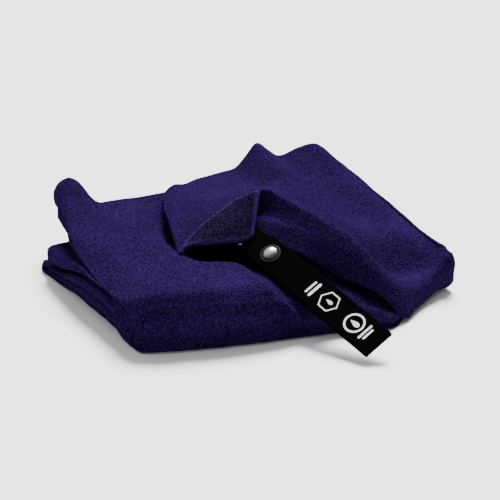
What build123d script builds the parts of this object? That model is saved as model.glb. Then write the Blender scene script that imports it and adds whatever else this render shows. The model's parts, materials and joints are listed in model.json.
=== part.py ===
"""Large microfibre terry towel, folded to a stack, with one corner turned over and a webbing hang loop
that closes with a press snap. Millimetres, +Z up, +X along the rounded front fold, +Y to the back. The
origin is at the centre of the underside of the whole object, loop included."""

import os

from build123d import *

# ---- Towel -------------------------------------------------------------------------------------------
ply = 2.3  # one layer of terry
corner_thickness = 2 * ply  # a hemmed edge is doubled

# Cross-sections of the folded stack, square to X. Each is a closed outline (y, z) that starts at the back
# of the underside, runs forward, round the front fold, over the top and down the back.
stack_sections = {
    -132.5: [(108, 4), (-50, 4), (-55, 9), (-57, 15), (-56, 22), (-50, 28), (-20, 30), (20, 32), (60, 36),
             (100, 38), (112, 18)],
    -124: [(126, 0), (-60, 0), (-64, 7), (-66, 15), (-64, 26), (-56, 36), (-20, 40), (20, 41), (70, 46),
           (124, 54), (134, 26)],
    -95: [(134, 0), (-74, 0), (-79, 7), (-81, 16), (-78, 27), (-68, 37), (-20, 40), (20, 41), (70, 43),
          (130, 57), (139, 28)],
    -60: [(136, 0), (-84, 0), (-88, 7), (-89, 16), (-85, 27), (-73, 36), (-20, 40), (20, 40), (70, 40),
          (130, 41), (139, 20)],
    -20: [(138, 0), (-88, 0), (-93, 6), (-91, 14), (-79, 25), (-57, 35), (-20, 39), (35, 40), (62, 50),
          (130, 43), (140, 20)],
    15: [(138, 0), (-92, 0), (-97, 6), (-95, 13), (-83, 23), (-62, 33), (-25, 44), (15, 62), (60, 61),
         (132, 48), (141, 24)],
    35: [(138, 0), (-94, 0), (-99, 6), (-97, 13), (-87, 22), (-70, 33), (-40, 44), (-8, 56), (60, 58),
         (134, 52), (143, 26)],
    65: [(138, 0), (-96, 0), (-100, 6), (-99, 12), (-94, 22), (-80, 33), (-47, 38), (-10, 48), (60, 60),
         (137, 62), (145.3, 30)],
    100: [(138, 0), (-70, 0), (-76, 6), (-76, 13), (-72, 20), (-62, 26), (-40, 31), (0, 38), (60, 47),
          (136, 56), (144, 28)],
    124: [(136, 0), (-56, 0), (-62, 5), (-63, 10), (-61, 16), (-55, 21), (-40, 24), (0, 32), (60, 42),
          (134, 52), (141, 26)],
    132.5: [(126, 5), (-46, 4), (-51, 6), (-53, 9), (-52, 13), (-48, 16), (-36, 19), (0, 26), (60, 35),
          (124, 44), (132, 24)],
}

# The turned-over corner: the layer rises from the stack to a ridge and folds forward over it.
ridge_low = Vector(-66, -3, 41)
ridge_high = Vector(9, 20, 71)
layer_back = Vector(-38, 106, 42)  # where the raised layer's left edge meets the back of the stack
corner_tip = Vector(-14.6, -18.3, 50)  # the towel's own corner, where the loop is sewn on
hem_inset = 5.0  # from the cloth's edge to its row of stitches
thread = 0.6

# ---- Hang loop of flat webbing -----------------------------------------------------------------------
tape_width = 24.0
tape = 1.2
leg_gap = 2.8  # what the closed snap holds the two legs of the loop apart by
loop_root = Vector(-16.5, -23.5, 49.5)  # on the top face of the loop, where it leaves the corner
loop_tip = Vector(21, -144.6, 12.6)
loop_roll = 30.0  # the loop's right edge stands up by this angle
sewn_length = 17.0
sewn_width = 20.0
box_stitch_length = 10.0
box_stitch_width = 9.0
hinge_play = 0.8  # from the bending line at the corner to the free webbing
sewn_front = 1.8  # from the sewn end to the same line
dent_play = 0.6  # the stack is hollowed under the loop by this much
dent_margin = 2.0  # and beyond each edge of the loop by this much
loop_height = 2 * tape + leg_gap

# ---- Press snap --------------------------------------------------------------------------------------
snap_from_root = 18.0
free_end_from_snap = 12.0
cap_diameter = 15.0
cap_height = 3.3
cap_sheet = 0.7
dome_diameter = 11.0
socket_diameter = 11.4
socket_wall = 0.7
stud_base_diameter = 10.4
stud_base_height = 0.7
stud_head_diameter = 6.0
stud_neck_diameter = 5.2
stud_height = 2.4
post_flange_diameter = 12.4
post_flange = 0.5
barrel_diameter = 4.0
barrel_height = 1.3  # the rolled end of the post, above the lower leg
tape_hole_diameter = 4.1
spring_wire = 0.5
socket_lip_width = 0.3

os.makedirs("parts", exist_ok=True)


def save(part, name):
    """Labels a finished piece and writes it."""
    part.label = name
    export_step(part, f"parts/{name}.step")


def plane_through(a, b, c):
    """The plane on three points with its normal upwards, its origin at a and its X towards b."""
    normal = (b - a).cross(c - a).normalized()
    if normal.Z < 0:
        normal = -normal
    return Plane(origin=a, x_dir=(b - a).normalized(), z_dir=normal)


def plate(corners, thickness, plane, drop=0.0):
    """A flat plate on plane with these corners, its top face drop below the plane."""
    local = [plane.to_local_coords(corner) for corner in corners]
    with BuildPart() as made:
        with BuildSketch(plane.offset(-drop)):
            with BuildLine():
                Polyline(*[(point.X, point.Y) for point in local], close=True)
            make_face()
        extrude(amount=-thickness)
    return made.part


# The loop's own plane lies on its top face: local X runs from the corner to the loop's tip and local Y
# across the webbing, towards the right edge, which is the higher one.
along = (loop_tip - loop_root).normalized()
level_right = Vector(-along.Y, along.X, 0).normalized()
right = level_right.rotate(Axis((0, 0, 0), along), loop_roll)
loop_plane = Plane(origin=loop_root, x_dir=along, z_dir=along.cross(right))
loop_length = (loop_tip - loop_root).length
fold_radius = loop_height / 2
leg_end = loop_length - fold_radius
under = loop_plane.offset(-loop_height)  # the underside of the lower leg
lower_top = under.offset(tape)

# ---- The folded stack --------------------------------------------------------------------------------
with BuildPart() as towel_stack:
    for x, outline in stack_sections.items():
        with BuildSketch(Plane.YZ.offset(x)):
            with BuildLine():
                Polyline(*outline, close=True)
            make_face()
    loft(ruled=True)
    # the hollow that the loop lies in
    with BuildSketch(under.offset(-dent_play)):
        with Locations((loop_length / 2, 0)):
            Rectangle(loop_length + 2 * sewn_length, tape_width + 2 * dent_margin)
    extrude(amount=ridge_high.Z, mode=Mode.SUBTRACT)
save(towel_stack.part, "towel_stack")

# ---- The raised layer and the turned-over corner -----------------------------------------------------
raised_plane = plane_through(ridge_low, ridge_high, layer_back)
with BuildPart() as raised_layer:
    add(plate([ridge_low, ridge_high, layer_back], corner_thickness, raised_plane))
    add(towel_stack.part, mode=Mode.SUBTRACT)
save(raised_layer.part, "raised_layer")

corner_plane = plane_through(ridge_low, ridge_high, corner_tip)
with BuildPart() as turned_corner:
    add(plate([ridge_low, ridge_high, corner_tip], corner_thickness, corner_plane))
    add(towel_stack.part, mode=Mode.SUBTRACT)
    add(raised_layer.part, mode=Mode.SUBTRACT)
turned_panel = turned_corner.part.solids().sort_by(SortBy.VOLUME)[-1]  # without the mitre's two crumbs
save(turned_panel, "turned_corner")


def inset_run(start, end, inside, inset, trim):
    """A line beside the edge from start to end, inset towards the point inside, and trimmed at both ends."""
    direction = (end - start).normalized()
    inward = inside - start
    inward = (inward - direction * inward.dot(direction)).normalized()
    return start + inward * inset + direction * trim, end + inward * inset - direction * trim


def thread_run(start, end):
    """A straight row of stitches lying on the turned corner."""
    direction = (end - start).normalized()
    bed = Plane(origin=start, x_dir=direction, z_dir=corner_plane.z_dir)
    with BuildPart(bed) as made:
        Box((end - start).length, thread, thread, align=(Align.MIN, Align.CENTER, Align.MIN))
    return made.part


with BuildPart() as hem_stitching:
    for start, end, inside in (
        (ridge_low, corner_tip, ridge_high),
        (corner_tip, ridge_high, ridge_low),
    ):
        add(thread_run(*inset_run(start, end, inside, hem_inset, trim=2.4 * hem_inset)))
save(hem_stitching.part, "hem_stitching")

# ---- The sewn end of the webbing, flat against the underside of the corner ---------------------------
root_line = corner_plane.to_local_coords(loop_root)
flat_along = corner_plane.to_local_coords(loop_root + along) - root_line
flat_along = Vector(flat_along.X, flat_along.Y, 0).normalized()
heading = Vector(1, 0, 0).get_signed_angle(flat_along, Vector(0, 0, 1))
with BuildPart() as strap_sewn_end:
    with BuildSketch(corner_plane.offset(-corner_thickness)):
        with Locations(Location((root_line.X, root_line.Y, 0), (0, 0, heading))):
            with Locations((-sewn_front, 0)):
                Rectangle(sewn_length, sewn_width, align=(Align.MAX, Align.CENTER))
    extrude(amount=-tape)
    add(towel_stack.part, mode=Mode.SUBTRACT)
    add(raised_layer.part, mode=Mode.SUBTRACT)
save(strap_sewn_end.part, "strap_sewn_end")

with BuildPart() as strap_stitching:
    for side in (-1, 1):
        with BuildSketch(corner_plane):
            with Locations(Location((root_line.X, root_line.Y, 0), (0, 0, heading))):
                with Locations((-sewn_front - sewn_length / 2, side * box_stitch_width / 2)):
                    Rectangle(box_stitch_length, thread)
        extrude(amount=thread)
save(strap_stitching.part, "strap_stitching")

# ---- The two legs of the loop, which meet in the fold at its tip -------------------------------------
middle = under.offset(fold_radius)
side_view = Plane(origin=middle.origin, x_dir=along, z_dir=-middle.y_dir)  # local Y is away from the stack

# the hole that the snap's post and cap pass through
with BuildPart() as snap_hole:
    with BuildSketch(middle):
        with Locations((snap_from_root, 0)):
            Circle(tape_hole_diameter / 2)
    extrude(amount=loop_height, both=True)

with BuildPart() as strap_lower_leg:
    with BuildSketch(side_view):
        with Locations((leg_end, 0)):
            Circle(fold_radius)
            Circle(fold_radius - tape, mode=Mode.SUBTRACT)
            Rectangle(2 * fold_radius, 2 * loop_height, align=(Align.MAX, Align.CENTER), mode=Mode.SUBTRACT)
        with Locations((hinge_play, tape / 2 - fold_radius)):
            Rectangle(leg_end - hinge_play, tape, align=(Align.MIN, Align.CENTER))
    extrude(amount=tape_width / 2, both=True)
    add(snap_hole.part, mode=Mode.SUBTRACT)
save(strap_lower_leg.part, "strap_lower_leg")

upper_start = snap_from_root - free_end_from_snap
with BuildPart() as strap_upper_leg:
    with BuildSketch(side_view):
        with Locations((upper_start, fold_radius - tape / 2)):
            Rectangle(leg_end - upper_start, tape, align=(Align.MIN, Align.CENTER))
    extrude(amount=tape_width / 2, both=True)
    add(snap_hole.part, mode=Mode.SUBTRACT)
save(strap_upper_leg.part, "strap_upper_leg")

# ---- The press snap, each piece turned about the snap's axis -----------------------------------------
snap_seat = Plane(
    origin=lower_top.from_local_coords(Vector(snap_from_root, 0, 0)),
    x_dir=along,
    z_dir=loop_plane.z_dir,
)


def turned(outline, dome=None):
    """A piece turned about the snap's axis from its half outline (radius, height above the lower leg)."""
    with BuildPart() as made:
        with BuildSketch(Plane.XZ):
            with BuildLine():
                if dome is None:
                    Polyline(*outline, close=True)
                else:
                    Polyline(*outline)
                    RadiusArc(outline[-1], outline[0], dome)
            make_face()
        revolve(axis=Axis.Z)
    return snap_seat.location * made.part


barrel = barrel_diameter / 2
post_outline = [
    (0, -tape - post_flange), (post_flange_diameter / 2, -tape - post_flange),
    (post_flange_diameter / 2, -tape), (barrel, -tape), (barrel, barrel_height), (0, barrel_height),
]
save(turned(post_outline), "snap_post")

head, neck = stud_head_diameter / 2, stud_neck_diameter / 2
stud_outline = [
    (barrel, 0), (stud_base_diameter / 2, 0), (stud_base_diameter / 2, stud_base_height),
    (neck, stud_base_height), (neck, stud_height * 0.55), (head, stud_height * 0.72),
    (head, stud_height * 0.85), (head - 0.5, stud_height), (0, stud_height),
    (0, barrel_height), (barrel, barrel_height),
]
save(turned(stud_outline), "snap_stud")

socket_foot = stud_base_height + 0.15
socket_bore = head + 0.95
socket_lip = head + 0.12
socket_outline = [
    (socket_lip, socket_foot), (socket_diameter / 2 - 0.4, socket_foot),
    (socket_diameter / 2, socket_foot + 0.4), (socket_diameter / 2, leg_gap), (barrel, leg_gap),
    (barrel, leg_gap - socket_lip_width), (socket_bore, leg_gap - socket_lip_width),
    (socket_bore, socket_foot + socket_lip_width),
    (socket_lip, socket_foot + socket_lip_width),
]
save(turned(socket_outline), "snap_socket")

# The spring: a pair of wires across the socket, one each side of the stud's neck.
wire_level = lower_top.offset(socket_foot + socket_lip_width + spring_wire / 2)
with BuildPart() as snap_spring:
    for side in (-1, 1):
        wire_y = side * (head + 0.1 + spring_wire / 2)
        wire_length = 2 * ((socket_bore - 0.02) ** 2 - (abs(wire_y) + spring_wire / 2) ** 2) ** 0.5
        wire_start = wire_level.from_local_coords(Vector(snap_from_root - wire_length / 2, wire_y, 0))
        with BuildSketch(Plane(origin=wire_start, z_dir=along)):
            Circle(spring_wire / 2)
        extrude(amount=wire_length)
save(snap_spring.part, "snap_spring")

cap_foot = leg_gap + tape
cap_radius = cap_diameter / 2
dome_foot = dome_diameter / 2
dome_rise = cap_height - cap_sheet
dome_radius = (dome_foot**2 + dome_rise**2) / (2 * dome_rise)
cap_outline = [
    (0, cap_foot + cap_height), (0, leg_gap - socket_lip_width), (barrel, leg_gap - socket_lip_width),
    (barrel, cap_foot),
    (cap_radius, cap_foot), (cap_radius, cap_foot + cap_sheet - 0.3),
    (cap_radius - 0.3, cap_foot + cap_sheet), (dome_foot, cap_foot + cap_sheet),
]
save(turned(cap_outline, dome=-dome_radius), "snap_cap")
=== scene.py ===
"""Large terry towel folded to a loose stack, with one corner turned over and a webbing hang loop that closes
with a press snap. The shapes are worked out in millimetres and turned into metres when a mesh is made."""

import json
import math

import bmesh
import bpy
import numpy as np
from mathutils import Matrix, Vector, noise
from mathutils.bvhtree import BVHTree


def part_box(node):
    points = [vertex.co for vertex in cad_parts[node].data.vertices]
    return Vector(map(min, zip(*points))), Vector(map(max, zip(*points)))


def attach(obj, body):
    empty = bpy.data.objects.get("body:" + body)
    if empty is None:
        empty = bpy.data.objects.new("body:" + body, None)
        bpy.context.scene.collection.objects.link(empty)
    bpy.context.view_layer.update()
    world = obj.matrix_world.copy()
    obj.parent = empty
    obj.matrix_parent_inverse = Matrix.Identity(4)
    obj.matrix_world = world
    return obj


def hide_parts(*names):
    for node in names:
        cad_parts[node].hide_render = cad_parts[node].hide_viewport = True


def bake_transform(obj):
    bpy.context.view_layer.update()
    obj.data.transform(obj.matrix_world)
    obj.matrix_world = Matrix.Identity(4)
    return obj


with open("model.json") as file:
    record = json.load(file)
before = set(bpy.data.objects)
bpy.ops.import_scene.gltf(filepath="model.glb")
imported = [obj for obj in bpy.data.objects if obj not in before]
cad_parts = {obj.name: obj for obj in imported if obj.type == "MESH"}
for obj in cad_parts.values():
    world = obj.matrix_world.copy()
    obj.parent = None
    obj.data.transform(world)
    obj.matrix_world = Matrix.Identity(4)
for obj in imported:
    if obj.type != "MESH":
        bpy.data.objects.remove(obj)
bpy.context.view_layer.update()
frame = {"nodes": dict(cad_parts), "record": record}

MM = 0.001
ply = 2.3  # one layer of terry
flat_width, flat_length = 762.0, 1270.0  # the size that is printed on the loop
joints = {joint["name"]: joint for joint in frame["record"]["behaviour"]["joints"]}


# ---- Curves and grids ----


def unit(vector):
    """The vector's direction."""
    return vector / max(np.linalg.norm(vector), 1e-9)


def lengths(line):
    """The distance along a line at each of its points."""
    return np.concatenate([[0], np.cumsum(np.linalg.norm(np.diff(line, axis=0), axis=1))])


def through(points, count):
    """count evenly spaced points on a smooth curve through the given ones."""
    points = np.array(points, float)
    ends = np.vstack([2 * points[0] - points[1], points, 2 * points[-1] - points[-2]])
    samples = 24  # of each span
    t = np.linspace(0, 1, samples, endpoint=False)[:, None]
    spans = []
    for a, b, c, d in zip(ends, ends[1:], ends[2:], ends[3:]):
        cubic = 2 * b + (c - a) * t + (2 * a - 5 * b + 4 * c - d) * t**2 + (3 * b - a - 3 * c + d) * t**3
        spans.append(cubic / 2)
    line = np.vstack(spans + [points[-1:]])
    run = lengths(line)
    at = np.linspace(0, run[-1], count)
    return np.stack([np.interp(at, run, line[:, axis]) for axis in range(3)], axis=1)


def patch(near, far, left, right):
    """A grid that fills four edges: near and far run left to right, left and right from near to far."""
    u = np.linspace(0, 1, len(near))[None, :, None]
    v = np.linspace(0, 1, len(left))[:, None, None]
    across = (1 - v) * near[None] + v * far[None]
    deep = (1 - u) * left[:, None] + u * right[:, None]
    corners = (1 - u) * ((1 - v) * near[0] + v * far[0]) + u * ((1 - v) * near[-1] + v * far[-1])
    return across + deep - corners


def smooth_between(knots, values, at):
    """Smooth interpolation at each place in at: values has a row for each knot, or one column for all."""
    knots = np.asarray(knots, float)
    values = np.asarray(values, float)
    if values.ndim == 1:
        values = np.repeat(values[:, None], len(at), axis=1)
    at = np.clip(at, knots[0], knots[-1])
    i = np.clip(np.searchsorted(knots, at) - 1, 0, len(knots) - 2)
    slope = np.gradient(values, knots, axis=0)
    column = np.arange(len(at))
    span = knots[i + 1] - knots[i]
    t = (at - knots[i]) / span
    return (
        (2 * t**3 - 3 * t**2 + 1) * values[i, column]
        + (t**3 - 2 * t**2 + t) * span * slope[i, column]
        + (3 * t**2 - 2 * t**3) * values[i + 1, column]
        + (t**3 - t**2) * span * slope[i + 1, column]
    )


def step(low, high, value):
    """0 below low, 1 above high, and smooth between."""
    t = np.clip((value - low) / (high - low), 0, 1)
    return t * t * (3 - 2 * t)


def lumps(points, size, seed):
    """Smooth noise from about -1 to 1 at each point, with lumps of this size in millimetres."""
    shift = Vector((seed * 17.3, seed * 5.1, seed * 9.7))
    return np.array([noise.noise(Vector(point) / size + shift) for point in points])


def new_piece(name, vertices, faces, material, smooth=True):
    """A mesh piece from points in millimetres."""
    mesh = bpy.data.meshes.new(name)
    mesh.from_pydata((np.asarray(vertices) * MM).tolist(), [], [list(map(int, face)) for face in faces])
    mesh.polygons.foreach_set("use_smooth", [smooth] * len(mesh.polygons))
    piece = bpy.data.objects.new(name, mesh)
    bpy.context.collection.objects.link(piece)
    if material:
        mesh.materials.append(material)
    return piece


def grid_faces(rows, columns):
    """Quads of a grid whose points are listed row by row."""
    return [
        (r * columns + c, r * columns + c + 1, (r + 1) * columns + c + 1, (r + 1) * columns + c)
        for r in range(rows - 1)
        for c in range(columns - 1)
    ]


def ring_faces(rings, sides, first=0, closed=False):
    """Quads between rings of points that are listed one after another. closed joins the last to the first."""
    faces = []
    for r in range(rings if closed else rings - 1):
        below = first + r * sides
        above = first + (r + 1) % rings * sides
        for k in range(sides):
            n = (k + 1) % sides
            faces.append((below + k, below + n, above + n, above + k))
    return faces


def end_faces(rings, sides, first=0):
    """The two faces that close a row of rings."""
    last = first + (rings - 1) * sides
    return [tuple(range(first, first + sides))[::-1], tuple(range(last, last + sides))]


def ring_about(centre, radius, side, other, sides):
    """Points around centre in the plane of two unit vectors."""
    turns = [2 * math.pi * k / sides for k in range(sides)]
    return [centre + radius * (math.cos(turn) * side + math.sin(turn) * other) for turn in turns]


# ---- Materials ----


def feed(socket, source):
    """Gives a socket its source, which is another socket or a plain value."""
    if isinstance(source, bpy.types.NodeSocket):
        socket.id_data.links.new(source, socket)
    else:
        socket.default_value = source


def feed_all(made, inputs):
    """Feeds a node's inputs. An underscore in an input's name stands for a space."""
    for name, source in inputs.items():
        feed(made.inputs[name.replace("_", " ")], source)
    return made


def new_material(name, **inputs):
    """A material and its shader, with these plain inputs."""
    material = bpy.data.materials.new(name)
    material.use_nodes = True
    return material, feed_all(material.node_tree.nodes["Principled BSDF"], inputs)


def node(tree, kind, settings=None, **inputs):
    """A new node with its settings and inputs."""
    made = tree.nodes.new(kind)
    for name, value in (settings or {}).items():
        setattr(made, name, value)
    return feed_all(made, inputs)


def object_place(material):
    """Places in the piece's own coordinates."""
    return node(material.node_tree, "ShaderNodeTexCoord").outputs["Object"]


def mesh_layer(material, name, output):
    """What a layer of the mesh holds."""
    return node(material.node_tree, "ShaderNodeAttribute", {"attribute_name": name}).outputs[output]


def speckle(where, **inputs):
    """A noise texture's value."""
    return node(where.id_data, "ShaderNodeTexNoise", Vector=where, **inputs).outputs["Fac"]


def bands(where, direction, **inputs):
    """A wave texture's value. Its bands follow one another in this direction."""
    settings = {"bands_direction": direction}
    return node(where.id_data, "ShaderNodeTexWave", settings, Vector=where, **inputs).outputs["Fac"]


def mapped(source, **limits):
    """A value taken from one range to another."""
    return node(source.id_data, "ShaderNodeMapRange", Value=source, **limits).outputs["Result"]


def scaled_sum(scaled, factor, added):
    """scaled times factor, plus added."""
    made = node(scaled.id_data, "ShaderNodeMath", {"operation": "MULTIPLY_ADD"})
    for socket, source in zip(made.inputs, (scaled, factor, added)):
        feed(socket, source)
    return made.outputs[0]


def vector_math(operation, *sources, output="Vector"):
    """The result of a vector operation, whose first source is a socket."""
    made = node(sources[0].id_data, "ShaderNodeVectorMath", {"operation": operation})
    for socket, source in zip(made.inputs, sources):
        feed(socket, source)
    return made.outputs[output]


def ramp(source, *stops):
    """A colour ramp on source: each stop is (position, colour)."""
    made = node(source.id_data, "ShaderNodeValToRGB", Fac=source)
    elements = made.color_ramp.elements
    while len(elements) < len(stops):
        elements.new(0.5)
    for element, (position, colour) in zip(elements, stops):
        element.position = position
        element.color = (*colour, 1)
    return made.outputs["Color"]


def bump(shader, source, strength, distance, before=None):
    """A bump from source, over another bump's normal where one is given. Its distance is in metres."""
    made = node(shader.id_data, "ShaderNodeBump", Strength=strength, Distance=distance, Height=source)
    if before:
        feed(made.inputs["Normal"], before)
    feed(shader.inputs["Normal"], made.outputs["Normal"])
    return made.outputs["Normal"]


def base_colour(material):
    """The shader's colour socket, and what it is linked to."""
    base = material.node_tree.nodes["Principled BSDF"].inputs["Base Color"]
    return base, base.links[0].from_socket


def mix_over(material, share, colour):
    """Mixes a colour over the material's own, by share."""
    base, plain = base_colour(material)
    mixed = node(base.id_data, "ShaderNodeMix", {"data_type": "RGBA"}, Factor=share, A=plain, B=colour)
    feed(base, mixed.outputs["Result"])


def yarn_material(name, **inputs):
    """A material for the towel's yarn, with its faint violet sheen."""
    violet = (0.45, 0.25, 1.0, 1)
    return new_material(name, Sheen_Weight=0.012, Sheen_Tint=violet, Specular_IOR_Level=0.0, **inputs)


def terry(name, dark, middle, light, loop_size, depth):
    """Terry pile: short loops in uneven clumps, with a deeper colour between them. Sizes are in metres."""
    material, shader = yarn_material(name, Roughness=0.93, Sheen_Roughness=0.4)
    where = object_place(material)
    loops = node(
        where.id_data, "ShaderNodeTexVoronoi", {"feature": "SMOOTH_F1"},
        Vector=where, Scale=1 / loop_size, Smoothness=0.6, Randomness=0.9,
    )
    clumps = speckle(where, Scale=0.9 / loop_size, Detail=3.0, Roughness=0.55)
    patches = speckle(where, Scale=26.0, Detail=3.0, Roughness=0.5)
    pile = scaled_sum(loops.outputs["Distance"], -0.75, clumps)
    shade = scaled_sum(patches, 0.35, pile)
    feed(shader.inputs["Base Color"], ramp(shade, (0.12, dark), (0.38, middle), (0.68, light)))
    bump(shader, pile, 1.0, depth)
    return material


def paint_fold_highlight(material, fold_highlight_colour):
    """Paints a highlight on the pile along the sharp fold that fold_edge marks, broken up by noise."""
    highlight_mottle = speckle(object_place(material), Scale=420.0, Detail=2.0)
    uneven = mapped(highlight_mottle, From_Min=0.35, From_Max=0.65)
    share = scaled_sum(mesh_layer(material, "fold_edge", "Fac"), uneven, 0.0)
    mix_over(material, share, (*fold_highlight_colour, 1))


def banded_with_face(material, dark, light):
    """Shows the face's colours where hem_band marks the hem, which is turned over from the face."""
    grain = speckle(object_place(material), Scale=650.0, Detail=2.0)
    mix_over(material, mesh_layer(material, "hem_band", "Fac"), ramp(grain, (0.3, dark), (0.7, light)))


terry_face = terry(
    "terry_indigo",
    dark=(0.0044, 0.0016, 0.0133), middle=(0.0113, 0.0043, 0.0348), light=(0.0203, 0.0092, 0.0620),
    loop_size=0.0014, depth=0.0004,
)
terry_reverse = terry(
    "terry_indigo_reverse",
    dark=(0.0028, 0.0018, 0.0075), middle=(0.0078, 0.0049, 0.0185), light=(0.0170, 0.0115, 0.0370),
    loop_size=0.0015, depth=0.0008,
)
banded_with_face(terry_reverse, (0.0105, 0.0043, 0.0310), (0.0195, 0.0082, 0.0550))
# Both sides of the cloth get a painted highlight along the sharp fold.
for terry_side in (terry_face, terry_reverse):
    paint_fold_highlight(terry_side, (0.030, 0.026, 0.080))


def stitched_hem():
    """The hem's overlocked band: the same yarn, flatter and lighter, with close slanting stitches."""
    material, shader = yarn_material("terry_hem", Roughness=0.85)
    where = object_place(material)
    slanting = bands(where, "DIAGONAL", Scale=190.0, Distortion=3.0, Detail=2.0)
    grain = speckle(where, Scale=520.0, Detail=3.0, Roughness=0.6)
    both = scaled_sum(slanting, 0.35, grain)
    colour = ramp(both, (0.3, (0.007, 0.003, 0.020)), (0.9, (0.026, 0.013, 0.070)))
    feed(shader.inputs["Base Color"], colour)
    bump(shader, both, 0.9, 0.0012)
    return material


def thread_material(name, dark, light):
    """Twisted sewing thread."""
    material, shader = new_material(name, Roughness=0.6, Specular_IOR_Level=0.0)
    twist = bands(object_place(material), "DIAGONAL", Scale=900.0, Distortion=1.5, Detail=1.0)
    feed(shader.inputs["Base Color"], ramp(twist, (0.2, dark), (0.9, light)))
    bump(shader, twist, 0.6, 0.0002)
    return material


def tape_ribs(where):
    """The webbing's fine ribs, one after another along the tape."""
    return bands(where, "X", Scale=300.0, Distortion=0.25, Detail=1.0)


def webbing_material():
    """Black tape with fine ribs across it; loop_place holds the place along and across, in metres."""
    material, shader = new_material("black_webbing", Roughness=0.8, Specular_IOR_Level=0.0)
    where = mesh_layer(material, "loop_place", "Vector")
    yarns = bands(where, "Y", Scale=430.0, Distortion=0.3, Detail=1.0)
    fuzz = speckle(where, Scale=900.0, Detail=3.0, Roughness=0.6)
    wear = speckle(where, Scale=60.0, Detail=3.0)
    weave = scaled_sum(yarns, 0.55, tape_ribs(where))
    tint = scaled_sum(wear, 0.7, weave)
    colour = ramp(tint, (0.2, (0.0006, 0.0006, 0.0007)), (1.0, (0.0024, 0.0024, 0.0027)))
    feed(shader.inputs["Base Color"], colour)
    woven = bump(shader, weave, 0.55, 0.00035)
    bump(shader, fuzz, 0.25, 0.0002, before=woven)
    return material


def print_material():
    """White print on the webbing, a little worn over the ribs."""
    material, shader = new_material("white_print", Roughness=0.6)
    where = mesh_layer(material, "loop_place", "Vector")
    wear = speckle(where, Scale=700.0, Detail=4.0, Roughness=0.7)
    colour = ramp(wear, (0.3, (0.42, 0.42, 0.42)), (0.52, (0.78, 0.78, 0.77)))
    feed(shader.inputs["Base Color"], colour)
    bump(shader, tape_ribs(where), 0.4, 0.0002)
    return material


def nickel(name, dark, light, least_rough, most_rough):
    """Polished nickel plate with faint hairline wear."""
    material, shader = new_material(name, Metallic=1.0)
    wear = speckle(object_place(material), Scale=420.0, Detail=5.0, Roughness=0.65)
    feed(shader.inputs["Base Color"], ramp(wear, (0.3, dark), (0.7, light)))
    feed(shader.inputs["Roughness"], mapped(wear, To_Min=least_rough, To_Max=most_rough))
    bump(shader, wear, 0.12, 0.0001)
    return material


def paint_rim_reflection(material, centre, axis, dome_radius):
    """Paints a dark reflection on a cap's rim outside its dome, and a glint at its edge. Sizes are in metres.
    """
    from_centre = vector_math("SUBTRACT", object_place(material), centre)
    around = vector_math("CROSS_PRODUCT", from_centre, axis)
    share = mapped(vector_math("LENGTH", around, output="Value"), From_Max=2 * dome_radius)
    # black is the painted dark reflection on the rim, and edge is the painted glint at its outer lip.
    black, edge = (0.03, 0.03, 0.03), (0.35, 0.35, 0.34)
    shade = ramp(share, (0.44, (1, 1, 1)), (0.50, black), (0.63, black), (0.67, edge))
    base, plain = base_colour(material)
    feed(base, vector_math("MULTIPLY", plain, shade))


hem_cloth = stitched_hem()
indigo_thread = thread_material("indigo_thread", (0.004, 0.002, 0.012), (0.011, 0.0055, 0.032))
white_thread = thread_material("loose_thread", (0.45, 0.45, 0.55), (0.75, 0.75, 0.82))
webbing = webbing_material()
white_print = print_material()


# ---- The hang loop's place: from its root under the turned-over corner to the fold at its tip ----

tape_width, tape = 24.0, 1.2
leg_gap = 2.8
loop_height = 2 * tape + leg_gap
fold_radius = loop_height / 2
snap_from_root, free_end_from_snap = 18.0, 12.0
swing, opening = joints["strap_swing"], joints["snap_open"]
root = np.array(swing["pos_m"]) / MM  # at the lower leg's mid-thickness
tip_top = np.array(opening["pos_m"]) / MM  # on the upper leg's top face, where the fold begins
right = np.array(opening["axis"], float)
to_tip = tip_top - root
rise = loop_height - tape / 2
tilt = math.asin(rise / np.linalg.norm(to_tip))
to_tip_unit = to_tip / np.linalg.norm(to_tip)
along = math.cos(tilt) * to_tip_unit - math.sin(tilt) * np.cross(to_tip_unit, right)
away = np.cross(along, right)  # from the stack
leg_end = float(to_tip.dot(along))


def on_loop(length, across, height):
    """A point of the loop: along it from the corner, across it to the right, and above its underside."""
    return root + along * length + right * across + away * (height - tape / 2)


# ---- The folded stack: the flat sheet is folded in thirds across, in thirds along, and then in half ----


def fold(across, height, line, centre, neutral, side=1):
    """Folds what lies past line over the rest of a flat stack. The bend's centre is at height centre, and the
    bend takes up the length of a half circle of radius neutral. side is -1 to fold from the low end."""
    past = side * (across - line)
    turn = np.clip(past / neutral, 0, math.pi)
    rest = np.maximum(past - math.pi * neutral, 0)
    radius = centre - height
    folded = line + side * (radius * np.sin(turn) - rest)
    return np.where(past > 0, folded, across), np.where(past > 0, centre - radius * np.cos(turn), height)


def in_thirds(across, height, length, plies):
    """Folds a stack of this many plies in thirds: first its high end, and then its low end over that."""
    centre = (2 * plies - 1) / 2 * ply
    middle = (plies - 1) / 2 * ply
    across, height = fold(across, height, length * 2 / 3, centre, centre - middle)
    centre = (3 * plies - 1) / 2 * ply
    return fold(across, height, length / 3, centre, centre - middle, side=-1)


def stations(*runs):
    """Places along the sheet: each run is (where it ends, step)."""
    places = [0.0]
    for end, spacing in runs:
        count = max(1, round((end - places[-1]) / spacing))
        places.extend(np.linspace(places[-1], end, count + 1)[1:])
    return np.array(places)


fine = 2.8  # between the sheet's points where it lies flat
third_across, third_along = flat_width / 3, flat_length / 3
spine_radius = 8.5 * ply
spine_bend = math.pi * (spine_radius - 4 * ply)
half_line = (flat_length - spine_bend) / 2
half_depth = (third_along - spine_bend) / 2

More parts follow.
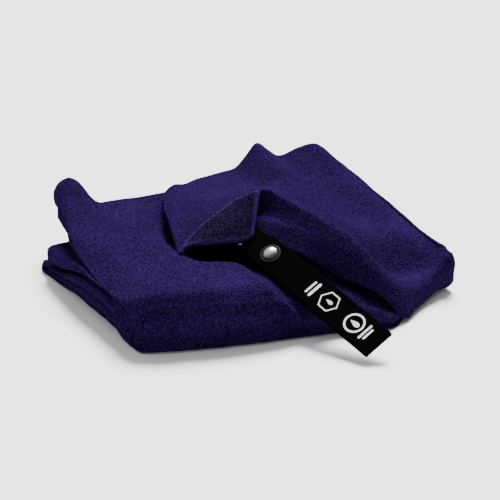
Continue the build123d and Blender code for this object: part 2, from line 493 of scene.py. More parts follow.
# The front edge of the stack on the surface that it lies on, from left to right, and its back edge.
front_x = [-133, -127, -109, -89, -53, -13, 16, 46, 56, 66, 76, 93, 114, 133]
front_y = [-60, -66, -75, -80, -87, -92, -95, -101, -103, -95, -85, -70, -57, -52]
back_x = [-133, -115, -90, -40, 0, 60, 133]
back_y = [122, 121, 121, 125, 127, 131, 130]

# Height of the stack's top, row by row from the front to the back.
top_x = [-130, -110, -85, -60, -33, -5, 25, 55, 90, 131]
top_y = [-90, -60, -30, 0, 30, 60, 90, 115, 140]
top_z = [
    [26, 36, 38, 37, 35, 29, 23, 13, 3, 3],
    [29, 37, 39, 39, 38, 35, 28, 20, 8, 6],
    [30, 37, 40, 40, 39, 38, 36, 28, 16, 10],
    [31, 37, 40, 40, 37, 36, 38, 36, 28, 18],
    [35, 39, 40, 40, 38, 38, 41, 41, 36, 27],
    [41, 41, 41, 40, 40, 40, 42, 43, 40, 33],
    [42, 42, 41, 40, 40, 41, 41, 45, 43, 37],
    [42, 42, 41, 40, 40, 40, 41, 46, 45, 40],
    [42, 42, 41, 40, 39, 39, 41, 48, 46, 40],
]

# The top layer's left edge, with the furrow beside it.
layer_left_y = [-7, 20, 45, 75, 101, 133]
layer_left_x = [-68, -63, -57, -49, -40, -28]


def stack_top(x, y):
    """Height of the top of the stack: the lobe at its back left corner, the hollow under the turned-over
    corner, and the furrow beside the top layer's left edge."""
    rows = np.array([smooth_between(top_x, row, x) for row in top_z])
    lip = smooth_between([-70, -60, -42, -30, -16, 0, 20], [-6, -18.5, -28, -38, -46, -50, -52], x)
    hollow_left = smooth_between([-10, 20, 45, 75], [-68, -62, -56, -48], y)
    hollow = step(0, 13, y - lip) * step(75, 35, y) * step(1, 12, x - hollow_left) * step(24, 2, x)
    past_edge = x - smooth_between(layer_left_y, layer_left_x, y)
    furrow = step(-9, -1, past_edge) * (1 - 0.6 * step(6, 25, past_edge)) * step(-4, 45, y) * step(118, 88, y)
    from_lobe = x - smooth_between([60, 90, 115, 138], [-128, -124, -114, -104], y)
    across_lobe = np.where(from_lobe > 0, np.cos(math.pi / 2 * np.clip(from_lobe / 27, 0, 1)) ** 2,
                           1 - np.clip(-from_lobe / 22, 0, 0.7) ** 2)
    lobe = smooth_between([25, 60, 90, 115, 138], [0, 2.5, 9, 15, 20.6], y) * across_lobe
    return smooth_between(top_y, rows, y) - 15 * hollow - 9 * furrow + lobe


swollen = 17.95  # the stack's height in plies, where its bundles of three have swollen
split_low, split_high = 0.5, 11.97 / swollen  # the two levels where the stack parts
raised_from, raised_to = 0.6645, 0.6695  # just below and just above the second of them
fifth_top, parting, sixth_foot = 14.95 / swollen, 14.97 / swollen, 15 / swollen  # between the top bundles
fifth_middle, sixth_middle, half_bundle = 13.475 / swollen, 16.475 / swollen, 1.475 / swollen


def loosened_plan(a, b, c, raised):
    """Where the places stand, seen from above: within an outline that differs from level to level."""
    b = b - 0.07 * step(0.25, 0.0, c) * step(0.35, 0.1, b)
    low_share = step(0.52, 0.48, c)
    from_low_middle = np.clip((c - 0.25) / 0.27, -1, 1)
    blunt = (1 - np.sqrt(1 - from_low_middle**2)) * step(0.55, 0.5, c) * step(0.7, 0.96, b)
    b = b + 0.045 * blunt * step(0.4, 0.1, a)
    low_y, high_y = 165 * b - 66, 204 * b - 66  # about how far back b lies in the low and the high layers
    low_left = smooth_between([-66, -50, -26, 0, 30, 60, 95],
                              [-121.5, -125.5, -128.5, -131.5, -134, -136.5, -138.5], low_y)
    high_left = smooth_between([-66, -40, -10, 30, 60, 90, 138],
                               [-123, -126.5, -128.5, -129, -127.5, -122, -115.5], high_y)
    foot_left = smooth_between([-66, -50, -26, 0, 22, 45, 64, 81, 95],
                               [-121, -124.5, -123.5, -126, -129, -130.5, -135, -137, -139.5], low_y)
    left = low_left + (high_left - low_left) * raised + (foot_left - low_left) * step(0.3, 0.0, c)
    right_side = 126 - 2 * raised + 2 * step(0.0, 0.2, b) - 1.5 * step(0.2, 0.5, c) * step(0.8, 0.5, c)
    x = left + (right_side - left) * a
    front = smooth_between(front_x, front_y, x)
    back = smooth_between(back_x, back_y, x)
    back = back + step(-84, -110, x) * 17 * raised - step(-98, -134, x) * (1 - raised) * (17 + 9 * low_share)
    return x, front + (back - front) * b, b


def with_noses(x, y, a, b, c, raised, lobe_share):
    """Ends the two upper bundles of three plies in round noses at the back left corner."""
    upper = c > parting
    nose = np.clip((c - np.where(upper, sixth_middle, fifth_middle)) / half_bundle, -1, 1)
    size = np.where(upper, np.where(nose > 0, 10, 3), 4)
    rounding = size * (1 - np.sqrt(1 - 0.97 * nose**2)) * raised * lobe_share
    x = x + (rounding + 2.5 * ~upper * raised * lobe_share) * step(0.14, 0.02, a)
    return x, y - rounding * step(0.78, 0.96, b)


def loosened_height(x, y, c, lobe_share):
    """How high the places stand, from the floor to the stack's top, in parts that open to the left."""
    top = stack_top(x, y)
    side = step(-70, -124, x)
    parted = side * step(-62, -25, y)
    wedge = side * step(-45, 5, y)
    low_top_edge = smooth_between([-62, -43, -16, 25, 70, 105, 130], [18, 24, 26, 23, 11, 6.5, 6], y)
    low_top = top / 2 + (low_top_edge - top / 2) * parted
    high_base = low_top + parted * 2.6
    middle_top_even = high_base + (top - high_base) / 3
    edge_y = [-25, 5, 28, 56, 85, 110, 130]
    middle_top_edge = smooth_between(edge_y, [30.5, 30.5, 31, 28, 23.5, 21, 20], y)
    upper_base_edge = smooth_between(edge_y, [31, 31, 32.5, 34, 29.5, 23, 20], y)
    middle_top = middle_top_even + (middle_top_edge - middle_top_even) * wedge
    upper_base = middle_top_even + (upper_base_edge - middle_top_even) * wedge
    depth = top - upper_base
    fifth = upper_base + depth * (0.49 - 0.12 * lobe_share)
    sixth = upper_base + depth * (0.51 - 0.11 * lobe_share)
    parts = [
        (0, split_low, 0 * top, low_top),
        (split_low, split_high, high_base, middle_top),
        (split_high, fifth_top, upper_base, fifth),
        (fifth_top, sixth_foot, fifth, sixth),
        (sixth_foot, 1 + 1e-6, sixth, top),
    ]
    z = np.zeros_like(top)
    for bottom, end, foot, head in parts:
        share = (c - bottom) / (min(end, 1) - bottom)
        z = np.where((c > bottom) & (c <= end), foot + (head - foot) * share, z)
    return z


def loosen(a, b, c):
    """Turns places in the ideal stack, each from 0 to 1 (left to right, front to back, bottom to top), into
    the loose one: its outline, its sloping top, and the layers that part at the left and the back."""
    raised = step(raised_from, raised_to, c)
    x, y, b = loosened_plan(a, b, c, raised)
    lobe_share = step(-82, -108, x) * step(70, 120, y)
    x, y = with_noses(x, y, a, b, c, raised, lobe_share)
    return np.stack([x, y, loosened_height(x, y, c, lobe_share)], axis=1)


def waver(points, share=1.0):
    """Adds the soft waves of cloth that lies loose, the same for every layer at one place."""
    lift = 1.3 * lumps(points * (1, 1, 0.5), 46, 1) + 0.75 * lumps(points * (1, 1, 0.6), 17, 2)
    push = 1.0 * lumps(points * (1, 1, 1.6), 30, 3) + 0.5 * lumps(points, 9, 4)
    off_floor = step(0, 9, points[:, 2])
    centre = np.array([0, 20, 20.0])
    outward = points - centre
    outward[:, 2] = 0
    outward /= np.maximum(np.linalg.norm(outward, axis=1), 1)[:, None]
    moved = points + outward * (push * share)[:, None]
    moved[:, 2] = np.maximum(points[:, 2] + lift * share * off_floor, 0.0)
    return moved


def pressed(points):
    """Presses what lies under the hang loop down to just below it."""
    clearance, softness, reach = 1.6, 12, 40
    place = points - root
    length, across = place @ along, place @ right
    below = -tape / 2 - clearance - place @ away
    pressed_below = (below + np.sqrt(below**2 + softness)) / 2
    near = step(tape_width / 2 + 11, tape_width / 2 + 3, np.abs(across)) * step(-30, -12, length)
    return points - away * ((pressed_below - below) * near * (below < reach))[:, None]


def puffed(level):
    """The height of each ply's level, from 0 to 1: the bundles of three swell until they nearly touch."""
    even, risen = [], []
    for bundle in range(6):
        even += [3 * bundle, 3 * bundle + 2]
        risen += [3 * bundle, 3 * bundle + 2.95]
    return np.interp(level, even, risen) / swollen


def folded_sheet():
    """The sheet's points in rows along its length, folded and loosened."""
    letter_bend = math.pi * ply
    across_runs = (
        (third_across - letter_bend - 12, 16),
        (third_across - letter_bend, 4),
        (third_across, 1.2),
        (2 * third_across, fine),
        (2 * third_across + letter_bend / 2, 0.9),
        (2 * third_across + 16, 4),
        (flat_width, 16),
    )
    along_runs = (
        (third_along / 2 - 70, 9),
        (third_along / 2 + 10, 3.5),
        (third_along - 22, 8),
        (third_along, 1.8),
        (half_line, fine),
        (half_line + spine_bend, fine / 2),
        (2 * third_along, fine),
        (2 * third_along + 11, 1.8),
        (flat_length - third_along / 2 - 10, 8),
        (flat_length - third_along / 2 + 70, 3.5),
        (flat_length, 9),
    )
    t, s = stations(*across_runs), stations(*along_runs)
    along, across = [grid.ravel() for grid in np.meshgrid(s, t, indexing="ij")]
    level = np.zeros_like(along)
    across, level = in_thirds(across, level, flat_width, plies=1)
    along, level = in_thirds(along, level, flat_length, plies=3)
    along, level = fold(along, level, half_line, spine_radius, spine_radius - 4 * ply)
    a = (across - third_across) / third_across
    b = (half_line - along + spine_radius) / (half_depth + spine_radius)
    points = pressed(waver(loosen(a, b, puffed(level / ply))))
    points[:, 2] = np.maximum(points[:, 2], 0)
    return points, len(s), len(t)


# ---- The top layer, which comes over the right side, and its turned-over corner ----

ridge_low = np.array((-68, -7, 41.0))  # the ridge's left end
apex = np.array((8, 20, 70.5))  # its right end
corner = np.array((-14.6, -18.3, 49.5))  # the cloth's own corner, turned over
ridge_span = float(np.linalg.norm(apex - ridge_low))
corner_out = np.array([-0.36, -0.32, 0.88])  # away from the corner's face
hem_width = 4.9
layer_back_left = (-27, 136, 34.5)
back_right = (127, 136, 47)
front_right, foot_right = (130, -58, 28.5), (127, -59.5, 1.6)
coarse = 1
ridge_count, front_count = 34 // coarse, 72 // coarse
deep_count, slope_count, wall_count = 52 // coarse, 30 // coarse, 14 // coarse

ridge = through(
    [ridge_low, (-57, 7.0, 44), (-46, 11.5, 50.5), (-34, 14.5, 57.5), (-19, 17.5, 64), (-5, 19.5, 69.2),
     apex],
    ridge_count,
)
crest = through(
    [apex, (13, 18, 70.3), (17, 9.6, 69.4), (23.5, -11.7, 66), (34.6, -35.6, 60), (48.6, -54.5, 51.5),
     (63, -68.8, 33.5), (79, -75, 20.5), (97, -70, 17), (114, -65, 20.5), front_right],
    front_count,
)
back_edge = through(
    [layer_back_left, (-17, 138, 40.5), (-8, 137, 40), (4, 138, 42.5), (27, 138, 45.5), (38, 138, 48),
     (47, 138, 57.5), (57, 138, 68.5), (67, 138, 61), (78, 138, 54), (95, 138, 58), (110, 138, 60),
     (119, 137, 55), back_right],
    ridge_count + front_count - 1,
)
left_edge = through(
    [ridge_low, (-62, 20, 44.5), (-55.5, 45, 46), (-47.5, 75, 45), (-38.5, 101, 42.5), layer_back_left],
    deep_count,
)
right_edge = through(
    [front_right, (131, -45, 29.5), (131, -18, 28.5), (131, 38, 35), (130, 100, 41.5), back_right],
    deep_count,
)
wall_front = [front_right, (131.3, -60, 21), (130.2, -60.5, 14), (130.3, -60.5, 6), foot_right]
wall_back = [back_right, (130.5, 139, 42), (131, 140, 35)]


def top_patch():
    """The top of the layer, with its hollows and its soft ridges: u runs to the right, and v to the back."""
    top = patch(np.vstack([ridge, crest[1:]]), back_edge, left_edge, right_edge)
    u = np.linspace(0, 1, len(back_edge))[None, :]
    v = np.linspace(0, 1, deep_count)[:, None]
    across = np.sin(math.pi * v)
    behind_apex = np.exp(-(((u - 0.30) / 0.17) ** 2))
    valley = np.exp(-(((u - 0.78 + 0.25 * v) / 0.07) ** 2))
    top[..., 2] -= across**1.3 * (7.5 * behind_apex + 1.5) + valley * across * 2.0
    right_part = step(0.55, 0.74, u) * step(1.0, 0.9, u)
    shoulder = np.exp(-(((v - 0.27) / 0.09) ** 2))
    dent = np.exp(-(((v - 0.1) / 0.07) ** 2))
    top[..., 2] += (7 * shoulder - 8 * dent) * right_part
    facet = np.exp(-(((u - 0.12 - 0.02 * v) / 0.03) ** 2))
    top[..., 2] += facet * np.sin(math.pi * np.clip(v * 1.1, 0, 1)) * 1.8
    return top


def slope_patch():
    """The layer's front, from its crest down to its hem: tucked in beside the corner, and full elsewhere."""
    hem_foot = through(
        [(-14, -8, 42), (-6, -22, 44), (4, -34, 43.5), (13, -46, 40.5), (21, -54, 36), (31, -68, 30),
         (45, -82, 25.5), (57, -92, 16.5), (63.5, -98, 7), (71, -97, 2), (82, -87, 1.6), (95, -77, 1.6),
         (112, -64.5, 2.5), foot_right],
        front_count,
    )
    slope_left = through([apex, (0, 14, 61), (-8, 4, 51), (-14, -8, 42)], slope_count)
    slope = patch(crest, hem_foot, slope_left, through(wall_front, slope_count))
    u = np.linspace(0, 1, front_count)[None, :]
    v = np.linspace(0, 1, slope_count)[:, None]
    tuck = np.exp(-((u / 0.15) ** 2)) * np.sin(math.pi * np.clip(v * 1.9, 0, 1))
    fullness = np.sin(math.pi * v**0.8) * step(0.06, 0.34, u) * (1 - 0.85 * step(0.6, 0.97, u))
    inward = np.array([-0.2, 0.75, -0.35])
    return slope + (19 * tuck - 6.5 * fullness)[..., None] * inward


def side_patches():
    """The layer's right side, its back, and the bend at its left edge."""
    wall_foot = through(
        [foot_right, (131.5, -20, 6), (131, 40, 17), (130.5, 90, 24), (129, 138, 27)],
        deep_count,
    )
    right_wall = patch(
        right_edge, wall_foot,
        through(wall_front, wall_count), through([*wall_back, (129, 138, 27)], wall_count),
    )
    back_foot = back_edge + np.array([0, 2.0, 0])
    back_foot[:, 2] = np.linspace(30, 27, len(back_edge)) + 1.5 * np.sin(np.linspace(0, 9, len(back_edge)))
    back_wall = patch(
        back_edge, back_foot,
        through([back_edge[0], back_edge[0] + (-0.5, 2.5, -3), back_foot[0]], wall_count),
        through([*wall_back, tuple(back_foot[-1])], wall_count),
    )
    bend = np.array([
        left_edge + np.array([-2.3 * math.sin(turn) + 0.8 * turn, 0.6 * turn, -2.4 * (1 - math.cos(turn))])
        for turn in np.linspace(0, 2.6, 7)
    ])
    return [right_wall, back_wall, bend]


def corner_point(a, b):
    """A point of the turned corner: a runs from its left end outwards, b from its lower edge to the ridge."""
    at = a * (len(ridge) - 1)
    i = int(min(at, len(ridge) - 2))
    upper = ridge[i] + (ridge[i + 1] - ridge[i]) * (at - i)
    bow = smooth_between([0, 0.12, 0.37, 0.65, 0.85, 1], [0, 1.3, 0.66, 0.05, -0.2, 0], np.array([a]))[0]
    lower = ridge_low + (corner - ridge_low) * a + np.array([0, 3.0, 2.2]) * bow
    point = lower + (upper - lower) * b
    point = point + (upper - point) * 0.05 * step(0.88, 1.0, a) * step(0.14, 0.0, b)
    puffed_out = np.array([-0.25, -0.55, 0.6]) * 4.5
    return point + puffed_out * math.sin(math.pi * min(b * 1.02, 1)) * math.sin(math.pi * a**1.4) ** 0.8


def hem_inset(a, b):
    """How far a place on the corner is from the nearer of its two free edges."""
    below, beside = a * b * ridge_span * 0.78, (1 - a) * ridge_span * 0.95
    return min(below, beside)


def hem_rise(a, b):
    """How far the doubled hem stands proud, near the corner's two free edges, with a groove at its seam."""
    inset = hem_inset(a, b)
    return 1.0 * (1 - step(5.4, 6.6, inset)) - 0.5 * math.exp(-(((inset - hem_width) / 0.5) ** 2))


def turned_corner(rows):
    """The turned-over corner's grid. Its top row is the ridge."""
    grid = np.zeros((rows, len(ridge), 3))
    for r, b in enumerate(np.linspace(0, 1, rows)):
        for c, a in enumerate(np.linspace(0, 1, len(ridge))):
            grid[r, c] = corner_point(a, b) + corner_out * hem_rise(a, b) * min(1, 6 * (1 - b))
    grid[-1] = ridge
    return grid


def layer_mesh():
    """The layer's patches and its corner in one mesh. The corner shows the cloth's reverse, its material 1.
    fold_edge marks the ridge, and hem_band marks the corner's hem."""
    patches = [top_patch(), slope_patch(), *side_patches()]
    mesh = bmesh.new()
    fold_edge = mesh.verts.layers.float.new("fold_edge")
    hem_band = mesh.verts.layers.float.new("hem_band")
    for part, grid in enumerate([*patches, turned_corner(26 // coarse)]):
        rows, columns = grid.shape[:2]
        is_corner = part == len(patches)
        made = [mesh.verts.new(point * MM) for point in grid.reshape(-1, 3)]
        for i, vertex in enumerate(made):
            if is_corner:
                a, b = i % columns / (columns - 1), i // columns / (rows - 1)
                vertex[hem_band] = float(step(4.6, 3.4, hem_inset(a, b)))
                vertex[fold_edge] = float(b == 1)
            elif part == 0 and i < len(ridge):
                vertex[fold_edge] = 1
        for face in grid_faces(rows, columns):
            new = mesh.faces.new([made[i] for i in face])
            new.material_index = int(is_corner)
            new.smooth = True
    bmesh.ops.remove_doubles(mesh, verts=mesh.verts[:], dist=0.2 * MM)
    return mesh


def even_out(mesh):
    """Rounds the seams between the patches, turns the faces outwards and adds the cloth's waves."""
    inner = [vertex for vertex in mesh.verts if not vertex.is_boundary]
    for _ in range(3):
        bmesh.ops.smooth_vert(
            mesh, verts=inner, factor=0.5, use_axis_x=True, use_axis_y=True, use_axis_z=True,
        )
    bmesh.ops.recalc_face_normals(mesh, faces=mesh.faces[:])
    if sum(face.normal.z * face.calc_area() for face in mesh.faces) < 0:
        bmesh.ops.reverse_faces(mesh, faces=mesh.faces[:])
    mesh.verts.ensure_lookup_table()
    points = np.array([vertex.co for vertex in mesh.verts]) / MM
    for vertex, point in zip(mesh.verts, waver(points, share=0.8)):
        vertex.co = Vector(point * MM)


def make_layer():
    """The top layer and its corner as one cloth of even thickness."""
    mesh = layer_mesh()
    even_out(mesh)
    data = bpy.data.meshes.new("top_layer")
    mesh.to_mesh(data)
    mesh.free()
    layer = bpy.data.objects.new("top_layer", data)
    bpy.context.collection.objects.link(layer)
    data.materials.append(terry_face)
    data.materials.append(terry_reverse)
    thicken = layer.modifiers.new("thickness", "SOLIDIFY")
    thicken.thickness = ply * MM
    thicken.offset = -1
    thicken.use_even_offset = False
    thicken.use_rim = True
    bpy.context.view_layer.update()
    shown = layer.evaluated_get(bpy.context.evaluated_depsgraph_get())
    thick = bpy.data.meshes.new_from_object(shown)
    layer.modifiers.clear()
    layer.data = thick
    return layer


def make_towel():
    """The whole cloth as one piece, and the closed line that the folded sheet's edge follows."""
    points, rows, columns = folded_sheet()
    towel = new_piece("towel_cloth", points, grid_faces(rows, columns), terry_face)
    towel.data.materials.append(terry_reverse)
    layer = make_layer()
    with bpy.context.temp_override(active_object=towel, selected_editable_objects=[towel, layer]):
        bpy.ops.object.join()
    edges = [
        points[0:columns], points[columns - 1 :: columns], points[-columns:][::-1], points[0::columns][::-1],
    ]
    return towel, np.vstack(edges)


def tube(name, line, radius, sides, material, closed=False):
    """A round tube along a line of points in millimetres."""
    line = np.asarray(line, float)
    ahead = np.roll(line, -1, axis=0) - np.roll(line, 1, axis=0)
    if not closed:
        ahead[0], ahead[-1] = line[1] - line[0], line[-1] - line[-2]
    vertices = []
    up = np.array([0.13, 0.21, 0.97])
    for point, direction in zip(line, ahead):
        direction = unit(direction)
        side = unit(np.cross(direction, up))
        vertices += ring_about(point, radius, side, np.cross(side, direction), sides)
    faces = ring_faces(len(line), sides, closed=closed)
    if not closed:
        faces += end_faces(len(line), sides)
    return new_piece(name, vertices, faces, material)


def thinned(line, spacing):
    """The line's points, no nearer to each other than spacing."""
    kept = [line[0]]
    for point in line[1:]:
        if np.linalg.norm(point - kept[-1]) >= spacing:
            kept.append(point)
    return np.array(kept)


cloth, sheet_edge = make_towel()
hem_line = thinned(sheet_edge, 5.0) * (0.995, 0.998, 1)  # just inside the sheet's edge
hem = tube("towel_hem", hem_line, radius=0.55, sides=6, material=hem_cloth, closed=True)

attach(cloth, "towel")
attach(hem, "towel")
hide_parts("towel_stack", "raised_layer", "turned_corner")


# ---- Stitches ----


bpy.context.view_layer.update()
cloth_surface = BVHTree.FromObject(cloth, bpy.context.evaluated_depsgraph_get())


def laid_on_cloth(point):
    """The place on the cloth that is nearest to a point, and its normal, turned upwards."""
    place, normal, _, _ = cloth_surface.find_nearest(Vector(point * MM))
    normal = np.array(normal)
    return np.array(place) / MM, -normal if normal[2] < 0 else normal


def point_at(line, run, at):
    """The line's point at a distance from its start, where run holds the distance at each of its points."""
    return np.array([np.interp(at, run, line[:, axis]) for axis in range(3)])


def stitches(name, lines, pitch, length, radius, sink=0.0):
    """Rows of separate stitches laid on the cloth: each is a short thread, bowed, with its ends sunk."""
    vertices, faces = [], []
    sides, rings = 5, 5
    for line in lines:
        run = lengths(line)
        for start in np.arange(pitch / 2, run[-1] - length, pitch):
            first = len(vertices)
            for share in np.linspace(0, 1, rings):
                at = start + length * share
                point = point_at(line, run, at)
                place, normal = laid_on_cloth(point)
                side = np.cross(normal, unit(point_at(line, run, at + 0.5) - point))
                bow = math.sin(math.pi * share)
                centre = place + normal * (radius * 1.1 * bow - radius * 0.5 - sink)
                vertices += ring_about(centre, radius * (0.55 + 0.45 * bow), side, normal, sides)
            faces += ring_faces(rings, sides, first) + end_faces(rings, sides, first)
    return new_piece(name, vertices, faces, indigo_thread)


def beside(start, end, inside, inset, trim):
    """A row beside the edge from start to end, inset towards the point inside, and trimmed at both ends."""
    direction = (end - start) / np.linalg.norm(end - start)
    inward = inside - start
    inward = unit(inward - direction * inward.dot(direction))
    return np.linspace(start + direction * trim + inward * inset, end - direction * trim + inward * inset, 20)


above_corner = corner_out * 3
hem_rows = [
    beside(ridge_low, corner, apex, inset=hem_width, trim=9) + above_corner,
    beside(corner, apex, ridge_low, inset=hem_width, trim=6) + above_corner,
]
hem_stitches = stitches("hem_stitches", hem_rows, pitch=2.9, length=2.2, radius=0.30, sink=0.1)
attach(hem_stitches, "towel")
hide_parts("hem_stitching")

thread_start = ridge_low + (corner - ridge_low) * 0.78
thread_line = through(
    [thread_start + (0, -0.5, -1.6), thread_start + (0.8, -1.6, -2.2), thread_start + (2.0, -1.9, -1.6),
     thread_start + (2.6, -1.4, -2.6)],
    14,
)
loose_thread = tube("loose_thread", thread_line, radius=0.2, sides=5, material=white_thread)
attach(loose_thread, "towel")


# ---- Hang loop ----

middle_height = 0.52  # from the tape's mid-thickness to its faces, between its selvedges


def tape_section():
    """The tape's section as (across, height): rounded edges, a raised selvedge and a flat middle."""
    half = tape_width / 2
    edge = [(half - 1.6, 0.55), (half - 0.9, 0.60), (half - 0.25, 0.42), (half, 0)]
    middle = [(x, middle_height) for x in np.linspace(-half + 3.5, half - 3.5, 7)]
    face = [(-x, h) for x, h in edge[::-1]] + middle + edge
    return face + [(x, -h) for x, h in face[-2:0:-1]]


def with_loop_place(piece, places):
    """Gives a piece its places along and across the loop, in millimetres, for its material."""
    layer = piece.data.attributes.new("loop_place", "FLOAT_VECTOR", "POINT")
    layer.data.foreach_set("vector", (np.array(places, float) * MM).ravel())


def tape_piece(name, line, places):
    """A length of webbing along a line of points, which lie at these places along the loop."""
    line = np.asarray(line, float)
    section = tape_section()
    ahead = np.gradient(line, axis=0)
    ahead /= np.linalg.norm(ahead, axis=1)[:, None]
    vertices, loop_places = [], []
    for point, direction, place in zip(line, ahead, places):
        side = unit(right - direction * right.dot(direction))
        normal = np.cross(direction, side)
        vertices += [point + side * x + normal * h for x, h in section]
        loop_places += [(place, x, 0) for x, _ in section]
    faces = ring_faces(len(line), len(section)) + end_faces(len(line), len(section))
    piece = new_piece(name, vertices, faces, webbing)
    with_loop_place(piece, loop_places)
    mesh = bmesh.new()
    mesh.from_mesh(piece.data)
    bmesh.ops.recalc_face_normals(mesh, faces=mesh.faces[:])
    mesh.to_mesh(piece.data)
    mesh.free()
    return piece


# the lower leg, from its sewn end under the corner to where the fold begins
corner_normal = unit(np.cross(apex - ridge_low, corner - ridge_low))
if corner_normal[2] < 0:
    corner_normal = -corner_normal
flat_along = unit(along - corner_normal * along.dot(corner_normal))
below_corner = 4.2
sewn_root = root - corner_normal * ((root - corner).dot(corner_normal) + below_corner)
sewn = [sewn_root - flat_along * distance for distance in (18.5, 12, 6.5)]
straight_from = 8
lower_line = np.vstack([
    through([*sewn, *(on_loop(place, 0, tape / 2) for place in (1, 4, straight_from))], 16)[:-1],
    [on_loop(place, 0, tape / 2) for place in np.linspace(straight_from, leg_end, 36)],
])
loop_lower = tape_piece("loop_lower_leg", lower_line, lengths(lower_line))

# the upper leg, from the fold at the tip back to its free end past the snap
bend_radius = fold_radius - tape / 2
bend_line = [
    on_loop(leg_end + bend_radius * math.cos(turn), 0, fold_radius + bend_radius * math.sin(turn))
    for turn in np.linspace(-math.pi / 2, math.pi / 2, 15)
]
upper_places = np.linspace(leg_end, snap_from_root - free_end_from_snap, 52)[1:]
slack_from = snap_from_root + 9


def slack(place):
    """How far the upper leg stands up between the snap and the tip, with a slight ripple."""
    share = np.clip((place - slack_from) / (leg_end - slack_from), 0, 1)
    ripple = 0.15 * math.sin(place / 9) * float(place > slack_from)
    return 0.9 * math.sin(math.pi * share) ** 2 + ripple


upper_slack = [slack(place) for place in upper_places]
upper_line = np.array(bend_line + [
    on_loop(place, 0, loop_height - tape / 2 + lift) for place, lift in zip(upper_places, upper_slack)
])
bend_places = leg_end + lengths(bend_line)[::-1]
loop_upper = tape_piece("loop_upper_leg", upper_line, [*bend_places, *upper_places])

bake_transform(loop_lower)
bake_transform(loop_upper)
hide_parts("strap_sewn_end", "strap_lower_leg")
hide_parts("strap_upper_leg")

# the rows of stitches that hold the webbing to the corner
sew_side = np.cross(corner_normal, flat_along)
row_length = 10
sewn_rows = []
for offset in (-6.1, 1.1):
    start = sewn_root - flat_along * 4.5 + sew_side * offset + corner_normal * 7
    sewn_rows.append(np.linspace(start, start - flat_along * row_length, 12))
root_stitches = stitches("root_stitches", sewn_rows, pitch=2.4, length=1.9, radius=0.32)
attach(root_stitches, "towel")
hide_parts("strap_stitching")


# ---- Print on the upper leg: a hexagon with a drop, a ring, and plain bars ----

print_height = 0.1


def print_point(place, across):
    """A point of the print, just above the upper leg's top face."""
    lift = float(np.interp(-place, -upper_places, upper_slack))
    return on_loop(place, across, lift + loop_height - tape / 2 + middle_height + print_height)


def printed(name, printed_marks):
    """Flat marks on the upper leg: each is one filled outline, or two that are joined by a band."""
    vertices, faces, places = [], [], []
    for outlines in printed_marks:
        first, count = len(vertices), len(outlines[0])
        for outline in outlines:
            vertices += [print_point(place, across) for place, across in outline]
            places += [(place, across, 0) for place, across in outline]
        filled = [tuple(range(first, first + count))]
        faces += ring_faces(len(outlines), count, first) if len(outlines) > 1 else filled
    piece = new_piece(name, vertices, faces, white_print)
    with_loop_place(piece, places)
    mesh = bmesh.new()
    mesh.from_mesh(piece.data)
    for face in mesh.faces:
        face.normal_update()
        if face.normal.dot(Vector(away)) < 0:
            face.normal_flip()
    mesh.to_mesh(piece.data)
    mesh.free()
    return piece


def loop_ring(centre, radius, corners, detail=1):
    """A regular outline about a place on the loop's middle line, each side cut in detail parts."""
    turns = [2 * math.pi * k / corners for k in range(corners)]
    points = [(centre + radius * math.cos(turn), radius * math.sin(turn)) for turn in turns]
    finer = []
    for (x0, y0), (x1, y1) in zip(points, points[1:] + points[:1]):
        finer += [(x0 + (x1 - x0) * k / detail, y0 + (y1 - y0) * k / detail) for k in range(detail)]
    return finer


def bar(place, width, length):
    """A bar across the loop with rounded ends."""
    radius = width / 2
    half = length / 2 - radius
    outline = []
    for end in (1, -1):
        for angle in np.linspace(0, math.pi, 7):
            outline.append((place + end * radius * math.cos(angle), end * (half + radius * math.sin(angle))))
    return [outline]


def drop(place, size):
    """A drop with its point towards the corner of the towel."""
    outline = []
    for k in range(24):
        angle = 2 * math.pi * k / 24
        width = 0.62 * size * math.sin(angle) * math.sin(angle / 2) ** 1.2
        outline.append((place - size * math.cos(angle), width))
    return [outline]


loop_print = printed("loop_print", [
    bar(62.5, 1.7, 11.5),
    bar(66.5, 2.3, 13.0),
    [loop_ring(81.5, 8.3, 6, detail=4), loop_ring(81.5, 7.2, 6, detail=4)],
    drop(81.8, 3.1),
    [loop_ring(107.5, 7.8, 36), loop_ring(107.5, 6.3, 36)],
    drop(107.9, 4.2),
    bar(118.2, 1.7, 13.5),
    bar(121.2, 1.5, 10.0),
])
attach(loop_print, "snap_leg")


# ---- Carried-over metal ----


def plate(name, metal):
    """Gives a node of the CAD model its metal."""
    materials = frame["nodes"][name].data.materials
    materials.clear()
    materials.append(metal)


cap_metal = nickel("cap_nickel", (0.50, 0.49, 0.46), (0.62, 0.61, 0.57), least_rough=0.24, most_rough=0.38)
cap_low, cap_high = (np.array(place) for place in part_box("snap_cap"))
# The cap's rim gets a painted dark reflection and a painted glint at its lip.
paint_rim_reflection(cap_metal, (cap_low + cap_high) / 2, away, 5.5 * MM)
plate("snap_cap", cap_metal)

# The snap's other parts get the same nickel painted darker: painted shade and dim reflections.
snap_metal_painted_dark = nickel(
    "nickel_painted_dark", (0.24, 0.237, 0.23), (0.34, 0.335, 0.325), least_rough=0.14, most_rough=0.34
)
for name in ("snap_socket", "snap_stud", "snap_post", "snap_spring"):
    plate(name, snap_metal_painted_dark)


# ---- Floor, light and camera ----


def make_floor():
    """A plain pale floor."""
    pale = (0.92, 0.92, 0.92, 1)
    material, _ = new_material("pale_floor", Base_Color=pale, Roughness=0.9, Specular_IOR_Level=0.1)
    reach = 4000
    corners = [(-reach, -reach, 0), (reach, -reach, 0), (reach, reach, 0), (-reach, reach, 0)]
    floor = new_piece("floor", corners, [(0, 1, 2, 3)], material, smooth=False)
    floor.location.z = -0.3 * MM
    floor.visible_glossy = False


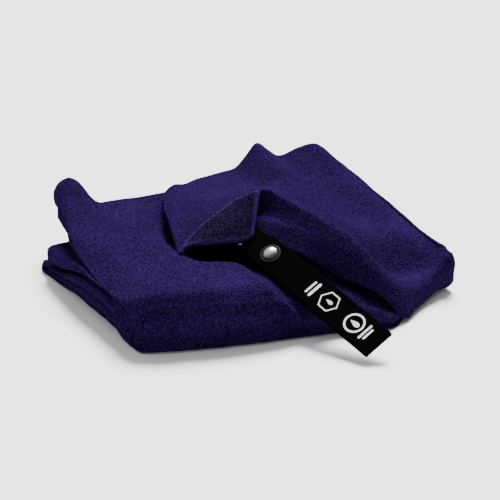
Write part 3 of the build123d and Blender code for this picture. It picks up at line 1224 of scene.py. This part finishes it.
def new_light(name, kind, strength):
    """A light and its lamp, which is the object that holds it."""
    light = bpy.data.lights.new(name, kind)
    light.energy = strength
    lamp = bpy.data.objects.new(name, light)
    bpy.context.collection.objects.link(lamp)
    return light, lamp


def softbox(name, place, target, size, power):
    """A square soft light at place that points at target."""
    light, lamp = new_light(name, "AREA", power)
    light.shape = "SQUARE"
    light.size = size
    lamp.location = place
    lamp.rotation_euler = (Vector(target) - Vector(place)).to_track_quat("-Z", "Y").to_euler()
    lamp.visible_glossy = False


def key_light(towards, strength, spread):
    """A broad distant light from the direction towards, with a spread in degrees."""
    light, lamp = new_light("key_light", "SUN", strength)
    light.angle = math.radians(spread)
    lamp.rotation_euler = Vector(towards).to_track_quat("Z", "Y").to_euler()


def make_sky():
    """A studio that is bright above and behind the towel, and dim in front of it."""
    world = bpy.data.worlds.new("studio")
    bpy.context.scene.world = world
    world.use_nodes = True
    tree = world.node_tree
    direction = node(tree, "ShaderNodeTexCoord").outputs["Generated"]
    towards_back = vector_math("DOT_PRODUCT", direction, (-0.2, 0.5, 0.8), output="Value")
    colour = ramp(towards_back, (0.25, (0.09, 0.09, 0.09)), (0.9, (1.0, 1.0, 1.0)))
    feed(tree.nodes["Background"].inputs["Color"], colour)


def make_camera(target, azimuth, elevation, distance, lens):
    """The photograph's camera, which looks at target. The angles are in degrees, and the rest in metres."""
    azimuth, elevation = math.radians(azimuth), math.radians(elevation)
    camera = bpy.data.objects.new("camera", bpy.data.cameras.new("camera"))
    camera.data.sensor_width = 36.0
    camera.data.lens = lens
    level = math.cos(elevation)
    away_from_target = (math.sin(azimuth) * level, -math.cos(azimuth) * level, math.sin(elevation))
    camera.location = target + distance * Vector(away_from_target)
    camera.rotation_euler = (target - camera.location).to_track_quat("-Z", "Y").to_euler()
    bpy.context.collection.objects.link(camera)
    bpy.context.scene.camera = camera


make_floor()
key_light(towards=(0.37, 0.56, 0.74), strength=13.0, spread=24)
softbox("light_front_left", place=(-0.9, -1.3, 0.3), target=(0.0, 0.0, 0.03), size=0.8, power=10)
make_sky()
make_camera(Vector((0.0228, 0.0729, 0.0)), azimuth=-24, elevation=22, distance=1.2, lens=108.0)
